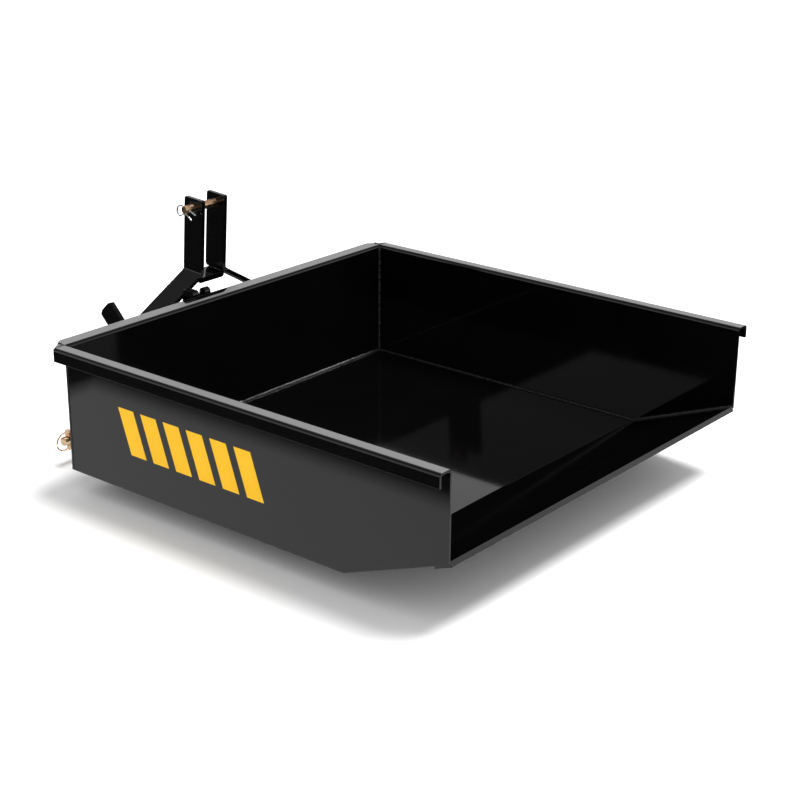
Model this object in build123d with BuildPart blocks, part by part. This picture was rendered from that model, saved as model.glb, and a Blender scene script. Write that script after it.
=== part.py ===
from build123d import *
import math
import os

os.makedirs("parts", exist_ok=True)

# Tipping transport box for a category 1 three-point hitch, all sizes in millimetres.
# X runs across the machine, +Y towards the tractor, +Z up. The origin lies on the ground, under
# the lower cross tube and straight below the top link pin.

# ---- Box ------------------------------------------------------------------------------------
box_width = 1016.0              # over the outer faces of the side walls
box_length = 1016.0             # headboard's outer face to the open end
wall_height = 280.0             # floor underside to the top of the rim
sheet = 4.76                    # floor, wall and rim sheet
fold_radius = 8.0               # outer radius of the rim folds
ramp_length = 248.0             # level length of the sloped tail
ramp_rise = 95.0                # height gained over the sloped tail
ramp_fold_radius = 25.0         # radius where the floor turns up
side_flange = 30.0              # how far the side rims stand out
front_flange = 38.0             # how far the headboard's rim stands out
flange_lip = 29.0               # depth of the turned-down lips
corner_cut = 22.0               # how far the front rim's ends are cut back by the corner plates
corner_round = 4.0              # on the corner plates' outer top edges
corner_wall_end = 12.0          # front end of a corner plate's lip behind the end of the cut
headboard_setback = 90.0        # top link pin to the headboard's outer face
edge_bar_width = 40.0           # wear bar under the open end
edge_bar_thickness = 6.35
edge_bar_round = 1.5

# Latch slot in the headboard's rim, as distances across the machine and from the outer face
slot_left_x = -149.0
slot_right_x = -30.0
slot_near_y = 12.0
slot_far_y = 32.0
slot_left_slant = 12.0          # how much further in the slot starts at its far side
slot_right_slant = 40.0         # how much further out it ends at its far side
slot_corner = 4.0
catch_x = -78.0                 # middle of the catch plate under the slot
catch_y = 27.0
catch_length = 40.0             # before its far end is cut back to the lip
catch_thickness = 6.0
catch_angle = 25.0
catch_depth = 22.0

# ---- Under the box --------------------------------------------------------------------------
stringer_web_x = 310.0          # inner face of each stringer's upright leg
stringer_depth = 38.0
stringer_flange = 38.0
stringer_start = 22.0           # headboard to the stringer's front end
stringer_ramp_gap = 22.0        # stringer's rear end to the fold in the floor
rib_depth = 34.0
rib_flange = 30.0
rib_ramp_gap = 40.0             # cross rib's rear face to the fold in the floor
lug_thickness = 9.5
lug_radius = 24.5
pivot_back = 480.0              # headboard's outer face to the tipping pivot
shaft_stub = 14.0               # pivot shaft beyond each stringer
cotter_inset = 6.0              # cross hole to the end of the pivot shaft
cotter_diameter = 5.0

# ---- Hitch frame ----------------------------------------------------------------------------
tube = 50.8                     # side of the square tubes
cross_tube_y = -14.0            # middle of the lower cross tube
tube_wall = 4.8
tube_corner = 7.0
rail_x = 254.0                  # centre of each rail
rest_gap = 0.3                  # empty box resting on the rails
pivot_pipe_diameter = 48.3
pivot_pipe_bore = 25.6
pivot_shaft_diameter = 25.4
pivot_end_gap = 0.5             # between each end of the pipe and its lug
rail_cope = 12.0                # how far each rail's end stays in front of the pivot axis

# The mast lies in a plane through the top link pin that leans back over the box. Distances
# called drops are measured down that plane from the top link pin.
bar_width = 57.15               # flat bar of the mast, as seen from the side
bar_thickness = 9.5
mast_gap = 61.0                 # between the two bars, where the top link goes
mast_tip = 21.5                 # bar ends above the top link pin
mast_tip_corner = 3.0
mast_bend_drop = 158.0          # where the bars spread
mast_spread_angle = 59.5        # lean of the legs from the upright part of the bars
mast_fold_radius = 16.0
leg_end_drop = 419.0            # lower end of each leg on its hitch plate
cross_plate_drop = 164.0        # upper face of the plate between the bars
cross_plate_thickness = 12.7
cross_plate_rear = 6.0          # its rear edge in front of the bars' rear edges
cross_plate_depth = 50.0
cross_plate_half_width = 40.5
cross_plate_corner = 7.0
gusset_leg = 44.0               # triangular plates between hitch plates and cross tube
gusset_thickness = 6.35
gusset_y = -26.0

hitch_plate_thickness = 12.7
hitch_plate_top_z = 168.0
hitch_plate_front_y = 66.0
hitch_plate_shoulder_z = 92.0
hitch_plate_toe = 22.0
hitch_plate_round = 10.0
lower_spread = 683.0            # between the shoulders of the two lower pins
mast_height = 460.0             # lower pins to the top link pin
lower_pin_y = 33.0
lower_pin_z = 57.0
lower_pin_diameter = 22.2
lower_pin_journal = 58.5        # shoulder to the turned-down end
lower_pin_end_diameter = 20.0
lower_pin_end_length = 30.0
lower_pin_hole_inset = 17.0     # cross hole to the pin's end
shoulder_thickness = 10.0
shoulder_diameter = 36.0
pin_bore_gap = 0.15             # radial, pin in a welded plate
nut_across_flats = 34.0
nut_thickness = 19.0
washer_thickness = 4.0
washer_diameter = 42.0

linchpin_diameter = 9.5
linchpin_bore_gap = 0.4
linchpin_below = 14.0           # linchpin's point below the pin
linchpin_head_width = 14.0
linchpin_head_height = 12.0
linchpin_head_gap = 0.4
ring_wire = 3.5
ring_length = 42.0              # from the ring's pivot to its far side
ring_lean = 36.0                # lean of the hanging ring from the vertical

# ---- Top link pin ---------------------------------------------------------------------------
top_pin_diameter = 19.0
top_pin_bore_gap = 0.3
top_pin_stub = 29.0             # left of the left bar
top_pin_head_diameter = 32.0
top_pin_head_thickness = 7.0
top_pin_head_gap = 0.5
clip_inset = 10.0               # clip hole to the pin's left end
clip_wire = 4.0
clip_bore_gap = 0.3
clip_leg = 30.0                 # straight leg beyond the pin's axis
clip_neck = 16.0                # pin's axis to the start of the clip's loop
clip_loop_radius = 13.0
clip_hug = 13.0                 # centre of the wavy leg to the pin's axis, at its closest
clip_tail = 20.0                # free end of the wavy leg beyond the pin's axis
clip_tail_flare = 6.0

# ---- Latch ----------------------------------------------------------------------------------
rockshaft_y = -37.0
rockshaft_z = 278.0
rockshaft_diameter = 19.0
rockshaft_bore_gap = 0.1
rockshaft_right_x = -38.0
rockshaft_left_x = -304.0
hook_x = -50.0                  # middle of the hook plate
hook_thickness = 16.0
hook_hub_radius = 15.5
hook_head_radius = 10.5
hook_head_y = -39.0
hook_top_z = 340.0
hook_shank = 17.0
hook_shank_shift = 3.0          # shank's middle in front of the rockshaft's axis
guide_x = -88.0                 # fixed rim guide on the left leg
guide_thickness = 19.0
guide_rear_y = -50.0
guide_bottom_z = 296.0
guide_top_z = 340.0
guide_round = 9.0
lever_x = -292.0
lever_lean = 44.0               # from the vertical, towards the tractor
lever_width = 48.0
lever_thickness = 9.5
lever_length = 86.0             # rockshaft's axis to the lever's end
lever_shoulder = 8.0            # full width starts this far above the rockshaft's axis
lever_corner_along = 5.0
lever_corner_across = 10.0
bearing_xs = (-122.0, -250.0)   # middle of each bearing plate
bearing_thickness = 9.5
bearing_radius = 14.0
bearing_foot = 30.0             # width of a bearing plate on the leg
spring_length = 26.0
spring_coil_radius = 14.5
spring_wire = 3.5
collar_diameter = 30.0
collar_width = 10.0
collar_gap = 0.5

roll_pin_length = 36.0
thread_tail = 4.0               # lower pin's thread beyond its nut
pin_chamfer = 1.5
linchpin_point = 2.5
linchpin_head_round = 3.0
ring_eye_diameter = 7.0
clip_dip = 19.0                 # how far the clip's straight leg points down, towards the box
clip_waist = 8.0
clip_bend_radius = 6.0
clip_fillet_slack = 0.5

# ---- Worked-out places ----------------------------------------------------------------------
front_y = -headboard_setback
end_y = front_y - box_length
ramp_y = end_y + ramp_length
floor_z = tube + rest_gap
rim_z = floor_z + wall_height
half_width = box_width / 2
inner_half_width = half_width - sheet
ramp_angle = math.degrees(math.atan2(ramp_rise, ramp_length))
pivot_y = front_y - pivot_back
pivot_z = tube / 2
lip_front_y = front_y + front_flange
top_pin_z = lower_pin_z + mast_height
mast_lean = math.degrees(math.atan2(lower_pin_y, mast_height))
mast_up = (0, -math.sin(math.radians(mast_lean)), math.cos(math.radians(mast_lean)))
mast_back = (0, -math.cos(math.radians(mast_lean)), -math.sin(math.radians(mast_lean)))
spread_tan = math.tan(math.radians(mast_spread_angle))
shoulder_x = lower_spread / 2
plate_outer_x = shoulder_x - shoulder_thickness
plate_inner_x = plate_outer_x - hitch_plate_thickness
pin_end_x = shoulder_x + lower_pin_journal + lower_pin_end_length
linchpin_x = pin_end_x - lower_pin_hole_inset
pipe_half = stringer_web_x - lug_thickness - pivot_end_gap
clip_x = mast_gap / 2 + bar_thickness + top_pin_stub - clip_inset
lug_bore = pivot_shaft_diameter / 2 + pin_bore_gap


def save(part, name):
    """Label a finished piece and write its STEP file."""
    part.label = name
    export_step(part, f"parts/{name}.step")


def save_pair(left_part, name):
    """Write a piece and its mirror image as the left and right ones."""
    save(left_part, f"{name}_left")
    save(mirror(left_part, about=Plane.YZ), f"{name}_right")


def sheet_section(plane, points, radius, thickness, side):
    """Section of folded sheet: a filleted line thickened to one side."""
    with BuildSketch(plane) as section:
        with BuildLine():
            face_line = FilletPolyline(*points, radius=radius)
            offset(face_line, amount=thickness, side=side)
        make_face()
    return section.sketch


def square_tube(plane, length):
    """Square tube with rounded corners, extruded from a plane through its axis."""
    with BuildPart() as stock:
        with BuildSketch(plane):
            RectangleRounded(tube, tube, tube_corner)
            RectangleRounded(
                tube - 2 * tube_wall, tube - 2 * tube_wall, tube_corner - tube_wall, mode=Mode.SUBTRACT
            )
        extrude(amount=length)
    return stock.part


# ---- Sheets of the box ----------------------------------------------------------------------
with BuildPart() as floor_sheet:
    floor_section = sheet_section(
        Plane.YZ,
        [(front_y - sheet, floor_z), (ramp_y, floor_z), (end_y, floor_z + ramp_rise)],
        ramp_fold_radius,
        sheet,
        Side.RIGHT,
    )
    extrude(floor_section, amount=inner_half_width, both=True)
save(floor_sheet.part, "floor_sheet")

with BuildPart() as side_sheet:
    side_section = sheet_section(
        Plane.XZ.offset(-front_y),
        [
            (-inner_half_width, floor_z),
            (-inner_half_width, rim_z),
            (-half_width - side_flange, rim_z),
            (-half_width - side_flange, rim_z - flange_lip),
        ],
        fold_radius,
        sheet,
        Side.LEFT,
    )
    extrude(side_section, amount=box_length)
    # the headboard covers the wall's front end
    with BuildSketch(Plane.XZ.offset(-front_y)):
        with Locations((-half_width, floor_z)):
            Rectangle(sheet, wall_height, align=(Align.MIN, Align.MIN))
    extrude(amount=sheet, mode=Mode.SUBTRACT)
    # the lower edge follows the sloped floor
    with BuildSketch(Plane.YZ):
        with BuildLine():
            Polyline((ramp_y, floor_z), (end_y, floor_z + ramp_rise), (end_y, floor_z), close=True)
        make_face()
    extrude(amount=-box_width, mode=Mode.SUBTRACT)
save_pair(side_sheet.part, "side_sheet")

# Each front corner of the rim is cut and closed on a slant, from the side rim's outer front corner
# to the front rim's outer edge.
corner_start = Vector(-half_width - side_flange, front_y)
corner_end = Vector(-half_width + corner_cut, lip_front_y)
corner_along = (corner_end - corner_start).normalized()
corner_slope = corner_along.Y / corner_along.X
corner_seat_y = front_y + side_flange * corner_slope

with BuildPart() as headboard:
    headboard_section = sheet_section(
        Plane.YZ,
        [
            (front_y - sheet, floor_z),
            (front_y - sheet, rim_z),
            (lip_front_y, rim_z),
            (lip_front_y, rim_z - flange_lip),
        ],
        fold_radius,
        sheet,
        Side.RIGHT,
    )
    extrude(headboard_section, amount=half_width, both=True)
    with BuildSketch(Plane.XY.offset(rim_z - flange_lip)) as corner_cuts:
        with BuildLine():
            Polyline(
                (-half_width, corner_seat_y),
                (corner_end.X, corner_end.Y),
                (-half_width, lip_front_y),
                close=True,
            )
        make_face()
        mirror(about=Plane.YZ)
    extrude(amount=flange_lip, mode=Mode.SUBTRACT)
    with BuildSketch(Plane.XY.offset(rim_z - sheet)) as slot:
        with BuildLine():
            Polyline(
                (slot_left_x, front_y + slot_near_y),
                (slot_right_x, front_y + slot_near_y),
                (slot_right_x + slot_right_slant, front_y + slot_far_y),
                (slot_left_x + slot_left_slant, front_y + slot_far_y),
                close=True,
            )
        make_face()
        fillet(slot.vertices(), slot_corner)
    extrude(amount=sheet, mode=Mode.SUBTRACT)
save(headboard.part, "headboard")

wall_end = corner_end - corner_along * (corner_wall_end / corner_along.X)
wall_inward = Vector(corner_along.Y, -corner_along.X) * sheet
wall_start_x = corner_start.X + sheet / corner_along.Y
with BuildPart() as rim_corner:
    with BuildSketch(Plane.XY.offset(rim_z - flange_lip)):
        with BuildLine():
            Polyline(
                (corner_start.X, corner_start.Y),
                (wall_end.X, wall_end.Y),
                (wall_end.X + wall_inward.X, wall_end.Y + wall_inward.Y),
                (wall_start_x, front_y),
                close=True,
            )
        make_face()
    extrude(amount=flange_lip - sheet)
    with BuildSketch(Plane.XY.offset(rim_z - sheet)):
        with BuildLine():
            Polyline(
                (corner_start.X, corner_start.Y),
                (-half_width, corner_seat_y),
                (-half_width, front_y),
                close=True,
            )
        make_face()
    extrude(amount=sheet)
    corner_top_edges = rim_corner.edges().group_by(Axis.Z)[-1].sort_by(SortBy.LENGTH)
    fillet(corner_top_edges[-1], corner_round)
save_pair(rim_corner.part, "rim_corner")

with BuildPart() as catch_plate:
    with BuildSketch(Plane.XY.offset(rim_z - fold_radius)):
        with Locations(Location((catch_x, front_y + catch_y, 0), (0, 0, catch_angle))):
            Rectangle(catch_length, catch_thickness)
    extrude(amount=-catch_depth)
    split(bisect_by=Plane.XZ.offset(sheet - lip_front_y), keep=Keep.TOP)
save(catch_plate.part, "catch_plate")

ramp_plane = Plane(
    origin=(0, end_y, floor_z + ramp_rise),
    x_dir=(1, 0, 0),
    z_dir=(0, -math.sin(math.radians(ramp_angle)), -math.cos(math.radians(ramp_angle))),
)
with BuildPart() as edge_bar:
    with BuildSketch(ramp_plane):
        with Locations((0, -edge_bar_width / 2)):
            Rectangle(2 * inner_half_width, edge_bar_width)
    extrude(amount=edge_bar_thickness)
    fillet(edge_bar.edges().filter_by(Axis.X).group_by(Axis.Z)[0], edge_bar_round)
save(edge_bar.part, "edge_bar")

# ---- Under the box --------------------------------------------------------------------------
stringer_front_y = front_y - stringer_start
stringer_length = stringer_front_y - (ramp_y + stringer_ramp_gap)
with BuildPart() as floor_stringer:
    stringer_section = sheet_section(
        Plane.XZ.offset(-stringer_front_y),
        [
            (-stringer_web_x - stringer_flange, floor_z),
            (-stringer_web_x, floor_z),
            (-stringer_web_x, floor_z - stringer_depth),
        ],
        fold_radius,
        sheet,
        Side.RIGHT,
    )
    extrude(stringer_section, amount=stringer_length)
    with BuildSketch(Plane.YZ.offset(-stringer_web_x)):
        with Locations((pivot_y, pivot_z)):
            Circle(lug_bore)
    extrude(amount=-sheet, mode=Mode.SUBTRACT)
save_pair(floor_stringer.part, "floor_stringer")

with BuildPart() as cross_rib:
    rib_section = sheet_section(
        Plane.YZ.offset(-stringer_web_x),
        [
            (ramp_y + rib_ramp_gap, floor_z - rib_depth),
            (ramp_y + rib_ramp_gap, floor_z),
            (ramp_y + rib_ramp_gap + rib_flange, floor_z),
        ],
        fold_radius,
        sheet,
        Side.RIGHT,
    )
    extrude(rib_section, amount=2 * stringer_web_x)
save(cross_rib.part, "cross_rib")

with BuildPart() as pivot_lug:
    with BuildSketch(Plane.YZ.offset(-stringer_web_x)):
        with BuildLine():
            lug_arc = CenterArc((pivot_y, pivot_z), lug_radius, 180, 180)
            Polyline(
                lug_arc @ 1,
                (pivot_y + 2 * lug_radius, floor_z),
                (pivot_y - 2 * lug_radius, floor_z),
                lug_arc @ 0,
            )
        make_face()
        with Locations((pivot_y, pivot_z)):
            Circle(lug_bore, mode=Mode.SUBTRACT)
    extrude(amount=lug_thickness)
save_pair(pivot_lug.part, "pivot_lug")

shaft_half = stringer_web_x + sheet + shaft_stub
cotter_x = shaft_half - cotter_inset
with BuildPart() as pivot_shaft:
    with BuildSketch(Plane.YZ.offset(-shaft_half)):
        with Locations((pivot_y, pivot_z)):
            Circle(pivot_shaft_diameter / 2)
    extrude(amount=2 * shaft_half)
    chamfer(pivot_shaft.edges().filter_by(GeomType.CIRCLE), pin_chamfer)
    with Locations(Plane.XY.offset(pivot_z)):
        with Locations((-cotter_x, pivot_y), (cotter_x, pivot_y)):
            Cylinder(cotter_diameter / 2, 2 * pivot_shaft_diameter, mode=Mode.SUBTRACT)
save(pivot_shaft.part, "pivot_shaft")

with BuildPart() as shaft_roll_pins:
    with BuildSketch(Plane.XY.offset(pivot_z)):
        with Locations((-cotter_x, pivot_y), (cotter_x, pivot_y)):
            Circle(cotter_diameter / 2 - pin_bore_gap)
    extrude(amount=roll_pin_length / 2, both=True)
save(shaft_roll_pins.part, "shaft_roll_pins")

# ---- Hitch frame ----------------------------------------------------------------------------
with BuildPart() as lower_cross_tube:
    add(
        square_tube(
            Plane(origin=(-plate_inner_x, cross_tube_y, tube / 2), x_dir=(0, 1, 0), z_dir=(1, 0, 0)),
            2 * plate_inner_x,
        )
    )
save(lower_cross_tube.part, "lower_cross_tube")

rail_start_y = cross_tube_y - tube / 2
with BuildPart() as frame_rail:
    add(
        square_tube(
            Plane(origin=(-rail_x, rail_start_y, tube / 2), x_dir=(1, 0, 0), z_dir=(0, -1, 0)),
            rail_start_y - (pivot_y + rail_cope),
        )
    )
    # the rear end is coped to the pivot pipe
    with BuildSketch(Plane.YZ.offset(-rail_x)):
        with Locations((pivot_y, pivot_z)):
            Circle(pivot_pipe_diameter / 2)
    extrude(amount=tube, both=True, mode=Mode.SUBTRACT)
save_pair(frame_rail.part, "frame_rail")

with BuildPart() as pivot_pipe:
    with BuildSketch(Plane.YZ.offset(-pipe_half)):
        with Locations((pivot_y, pivot_z)):
            Circle(pivot_pipe_diameter / 2)
            Circle(pivot_pipe_bore / 2, mode=Mode.SUBTRACT)
    extrude(amount=2 * pipe_half)
save(pivot_pipe.part, "pivot_pipe")

leg_inner_x = plate_inner_x - bar_thickness
knee_drop = mast_bend_drop + (leg_inner_x - mast_gap / 2) / spread_tan
mast_axis_plane = Plane(origin=(0, 0, top_pin_z), x_dir=(1, 0, 0), z_dir=mast_back)
mast_front_plane = mast_axis_plane.offset(-bar_width / 2)


def rear_edge_y(height):
    """Where the rear edges of the leaning mast bars are at a height."""
    drop = top_pin_z - height
    cosine = math.cos(math.radians(mast_lean))
    return drop * math.tan(math.radians(mast_lean)) - bar_width / 2 / cosine


with BuildPart() as mast_bar:
    bar_section = sheet_section(
        mast_front_plane,
        [
            (-mast_gap / 2, mast_tip),
            (-mast_gap / 2, -mast_bend_drop),
            (-leg_inner_x, -knee_drop),
            (-leg_inner_x, -leg_end_drop),
        ],
        mast_fold_radius,
        bar_thickness,
        Side.RIGHT,
    )
    extrude(bar_section, amount=bar_width)
    chamfer(mast_bar.edges().filter_by(Axis.X).sort_by(Axis.Z)[-2:], mast_tip_corner)
    with BuildSketch(Plane.YZ):
        with Locations((0, top_pin_z)):
            Circle(top_pin_diameter / 2 + top_pin_bore_gap)
    extrude(amount=-mast_gap, mode=Mode.SUBTRACT)
save_pair(mast_bar.part, "mast_bar")

with BuildPart() as mast_cross_plate:
    with BuildSketch(mast_axis_plane.offset(bar_width / 2 - cross_plate_rear)) as cross_plate_face:
        with Locations((0, -cross_plate_drop)):
            Rectangle(2 * cross_plate_half_width, cross_plate_thickness, align=(Align.CENTER, Align.MAX))
        fillet(cross_plate_face.vertices().group_by(Axis.Y)[0], cross_plate_corner)
    extrude(amount=-cross_plate_depth)
save(mast_cross_plate.part, "mast_cross_plate")

plate_top_front_y = rear_edge_y(hitch_plate_top_z) + bar_width
with BuildPart() as hitch_plate:
    with BuildSketch(Plane.YZ.offset(-plate_outer_x)) as hitch_plate_face:
        with BuildLine():
            Polyline(
                (cross_tube_y - tube / 2, 0),
                (hitch_plate_front_y - hitch_plate_toe, 0),
                (hitch_plate_front_y, hitch_plate_toe),
                (hitch_plate_front_y, hitch_plate_shoulder_z),
                (plate_top_front_y, hitch_plate_top_z),
                (rear_edge_y(hitch_plate_top_z), hitch_plate_top_z),
                (cross_tube_y - tube / 2, tube + tube_corner),
                close=True,
            )
        make_face()
        fillet(hitch_plate_face.vertices().group_by(Axis.X)[-1], hitch_plate_round)
        with Locations((lower_pin_y, lower_pin_z)):
            Circle(lower_pin_diameter / 2 + pin_bore_gap, mode=Mode.SUBTRACT)
    extrude(amount=hitch_plate_thickness)
save_pair(hitch_plate.part, "hitch_plate")

with BuildPart() as frame_gusset:
    with BuildSketch(Plane.XZ.offset(-gusset_y)):
        with BuildLine():
            Polyline(
                (-plate_inner_x, tube),
                (-plate_inner_x + gusset_leg, tube),
                (-plate_inner_x, tube + gusset_leg),
                close=True,
            )
        make_face()
    extrude(amount=gusset_thickness)
save_pair(frame_gusset.part, "frame_gusset")

with BuildPart() as lower_pin:
    lower_pin_steps = (
        (lower_pin_end_diameter, lower_pin_end_length),
        (lower_pin_diameter, lower_pin_journal),
        (shoulder_diameter, shoulder_thickness),
        (lower_pin_diameter, hitch_plate_thickness + washer_thickness + nut_thickness + thread_tail),
    )
    step_x = -pin_end_x
    for step_diameter, step_length in lower_pin_steps:
        with BuildSketch(Plane.YZ.offset(step_x)):
            with Locations((lower_pin_y, lower_pin_z)):
                Circle(step_diameter / 2)
        extrude(amount=step_length)
        step_x += step_length
    pin_ends = lower_pin.edges().filter_by(GeomType.CIRCLE).sort_by(Axis.X)
    chamfer((pin_ends[0], pin_ends[-1]), pin_chamfer)
    with BuildSketch(Plane.XY.offset(lower_pin_z)):
        with Locations((-linchpin_x, lower_pin_y)):
            Circle(linchpin_diameter / 2 + linchpin_bore_gap)
    extrude(amount=lower_pin_diameter, both=True, mode=Mode.SUBTRACT)
save_pair(lower_pin.part, "lower_pin")

with BuildPart() as lower_pin_nut:
    with BuildSketch(Plane.YZ.offset(-plate_inner_x)):
        with Locations((lower_pin_y, lower_pin_z)):
            Circle(washer_diameter / 2)
            Circle(lower_pin_diameter / 2 + pin_bore_gap, mode=Mode.SUBTRACT)
    extrude(amount=washer_thickness)
    with BuildSketch(Plane.YZ.offset(-plate_inner_x + washer_thickness)):
        with Locations((lower_pin_y, lower_pin_z)):
            RegularPolygon(nut_across_flats / 2, 6, major_radius=False)
            Circle(lower_pin_diameter / 2 + pin_bore_gap, mode=Mode.SUBTRACT)
    extrude(amount=nut_thickness)
save_pair(lower_pin_nut.part, "lower_pin_nut")

# ---- Linchpins ------------------------------------------------------------------------------
head_bottom_z = lower_pin_z + lower_pin_end_diameter / 2 + linchpin_head_gap
ring_pivot_z = head_bottom_z + linchpin_head_height / 2
ring_radius = ring_length / 2
with BuildPart() as linchpin:
    with BuildSketch(Plane.XY.offset(lower_pin_z - lower_pin_end_diameter / 2 - linchpin_below)):
        with Locations((-linchpin_x, lower_pin_y)):
            Circle(linchpin_diameter / 2)
    extrude(amount=linchpin_below + lower_pin_end_diameter + linchpin_head_gap)
    chamfer(linchpin.edges().group_by(Axis.Z)[0], linchpin_point)
    with BuildSketch(Plane.XY.offset(head_bottom_z)):
        with Locations((-linchpin_x, lower_pin_y)):
            RectangleRounded(linchpin_head_height, linchpin_head_width, linchpin_head_round)
    extrude(amount=linchpin_head_height)
    # the eye is wide enough for the bent wire of the ring to turn in it
    with BuildSketch(Plane.XZ.offset(-lower_pin_y)):
        with Locations((-linchpin_x, ring_pivot_z)):
            Circle(ring_eye_diameter / 2)
    extrude(amount=linchpin_head_width, both=True, mode=Mode.SUBTRACT)
save_pair(linchpin.part, "linchpin")

ring_sin = math.sin(math.radians(ring_lean))
ring_cos = math.cos(math.radians(ring_lean))
ring_plane = Plane(
    origin=(-linchpin_x - ring_radius * ring_sin, lower_pin_y, ring_pivot_z - ring_radius * ring_cos),
    x_dir=(0, 1, 0),
    z_dir=(ring_cos, 0, -ring_sin),
)
with BuildPart() as linchpin_ring:
    with Locations(ring_plane):
        Torus(ring_radius, ring_wire / 2)
save_pair(linchpin_ring.part, "linchpin_ring")

# ---- Top link pin and its clip --------------------------------------------------------------
clip_along = (0, -math.cos(math.radians(clip_dip)), -math.sin(math.radians(clip_dip)))
clip_plane = Plane(origin=(-clip_x, 0, top_pin_z), x_dir=clip_along, z_dir=(1, 0, 0))
top_pin_left_x = -(mast_gap / 2 + bar_thickness + top_pin_stub)
top_pin_head_x = mast_gap / 2 + bar_thickness + top_pin_head_gap
with BuildPart() as top_link_pin:
    with BuildSketch(Plane.YZ.offset(top_pin_left_x)):
        with Locations((0, top_pin_z)):
            Circle(top_pin_diameter / 2)
    extrude(amount=top_pin_head_x - top_pin_left_x)
    chamfer(top_link_pin.edges().group_by(Axis.X)[0], pin_chamfer)
    with BuildSketch(Plane.YZ.offset(top_pin_head_x)):
        with Locations((0, top_pin_z)):
            Circle(top_pin_head_diameter / 2)
    extrude(amount=top_pin_head_thickness)
    chamfer(top_link_pin.edges().group_by(Axis.X)[-1], pin_chamfer)
    with BuildSketch(Plane(origin=(-clip_x, 0, top_pin_z), x_dir=(1, 0, 0), z_dir=clip_along)):
        Circle(clip_wire / 2 + clip_bore_gap)
    extrude(amount=top_pin_diameter, both=True, mode=Mode.SUBTRACT)
save(top_link_pin.part, "top_link_pin")

with BuildPart() as hairpin_clip:
    with BuildLine(clip_plane):
        clip_path = FilletPolyline(
            (clip_leg, 0),
            (-clip_neck - clip_loop_radius, 0),
            (-clip_neck - clip_loop_radius, 2 * clip_loop_radius),
            (-clip_neck, 2 * clip_loop_radius),
            (-clip_waist / 2, clip_hug),
            (clip_waist / 2, clip_hug),
            (clip_tail, clip_hug + clip_tail_flare),
            radius=[
                clip_loop_radius - clip_fillet_slack,
                clip_loop_radius - clip_fillet_slack,
                clip_bend_radius,
                clip_bend_radius,
                clip_bend_radius,
            ],
        )
    with BuildSketch(Plane(origin=clip_path @ 0, z_dir=clip_path % 0)):
        Circle(clip_wire / 2)
    sweep(path=clip_path)
save(hairpin_clip.part, "hairpin_clip")

# ---- Latch ----------------------------------------------------------------------------------
with BuildPart() as rockshaft:
    with BuildSketch(Plane.YZ.offset(rockshaft_left_x)):
        with Locations((rockshaft_y, rockshaft_z)):
            Circle(rockshaft_diameter / 2)
    extrude(amount=rockshaft_right_x - rockshaft_left_x)
    chamfer(rockshaft.edges().filter_by(GeomType.CIRCLE), pin_chamfer)
save(rockshaft.part, "rockshaft")

hook_head_z = hook_top_z - hook_head_radius
shank_y = rockshaft_y + hook_shank_shift
with BuildPart() as latch_hook:
    with BuildSketch(Plane.YZ.offset(hook_x - hook_thickness / 2)):
        with Locations((rockshaft_y, rockshaft_z)):
            Circle(hook_hub_radius)
        with Locations((hook_head_y, hook_head_z)):
            Circle(hook_head_radius)
        with BuildLine():
            Polyline(
                (shank_y - hook_shank / 2, rockshaft_z),
                (shank_y + hook_shank / 2, rockshaft_z),
                (hook_head_y + hook_head_radius, hook_head_z),
                (hook_head_y, hook_head_z),
                (shank_y - hook_shank / 2, hook_head_z - hook_head_radius),
                close=True,
            )
        make_face()
        with Locations((rockshaft_y, rockshaft_z)):
            Circle(rockshaft_diameter / 2 + pin_bore_gap, mode=Mode.SUBTRACT)
    extrude(amount=hook_thickness)
save(latch_hook.part, "latch_hook")

lever_plane = Plane(
    origin=(lever_x - lever_thickness / 2, rockshaft_y, rockshaft_z),
    x_dir=(0, math.sin(math.radians(lever_lean)), math.cos(math.radians(lever_lean))),
    z_dir=(1, 0, 0),
)
with BuildPart() as trip_lever:
    with BuildSketch(lever_plane):
        Circle(hook_hub_radius)
        with BuildLine():
            Polyline(
                (0, -hook_hub_radius),
                (lever_shoulder, -lever_width / 2),
                (lever_length - lever_corner_along, -lever_width / 2),
                (lever_length, -lever_width / 2 + lever_corner_across),
                (lever_length, lever_width / 2 - lever_corner_across),
                (lever_length - lever_corner_along, lever_width / 2),
                (lever_shoulder, lever_width / 2),
                (0, hook_hub_radius),
                close=True,
            )
        make_face()
        Circle(rockshaft_diameter / 2 + pin_bore_gap, mode=Mode.SUBTRACT)
    extrude(amount=lever_thickness)
save(trip_lever.part, "trip_lever")

with BuildPart() as rockshaft_collars:
    for collar_left_x in (
        bearing_xs[0] - bearing_thickness / 2 - collar_gap - collar_width,
        bearing_xs[1] + bearing_thickness / 2 + collar_gap,
    ):
        with BuildSketch(Plane.YZ.offset(collar_left_x)):
            with Locations((rockshaft_y, rockshaft_z)):
                Circle(collar_diameter / 2)
                Circle(rockshaft_diameter / 2 + pin_bore_gap, mode=Mode.SUBTRACT)
        extrude(amount=collar_width)
save(rockshaft_collars.part, "rockshaft_collars")

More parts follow.
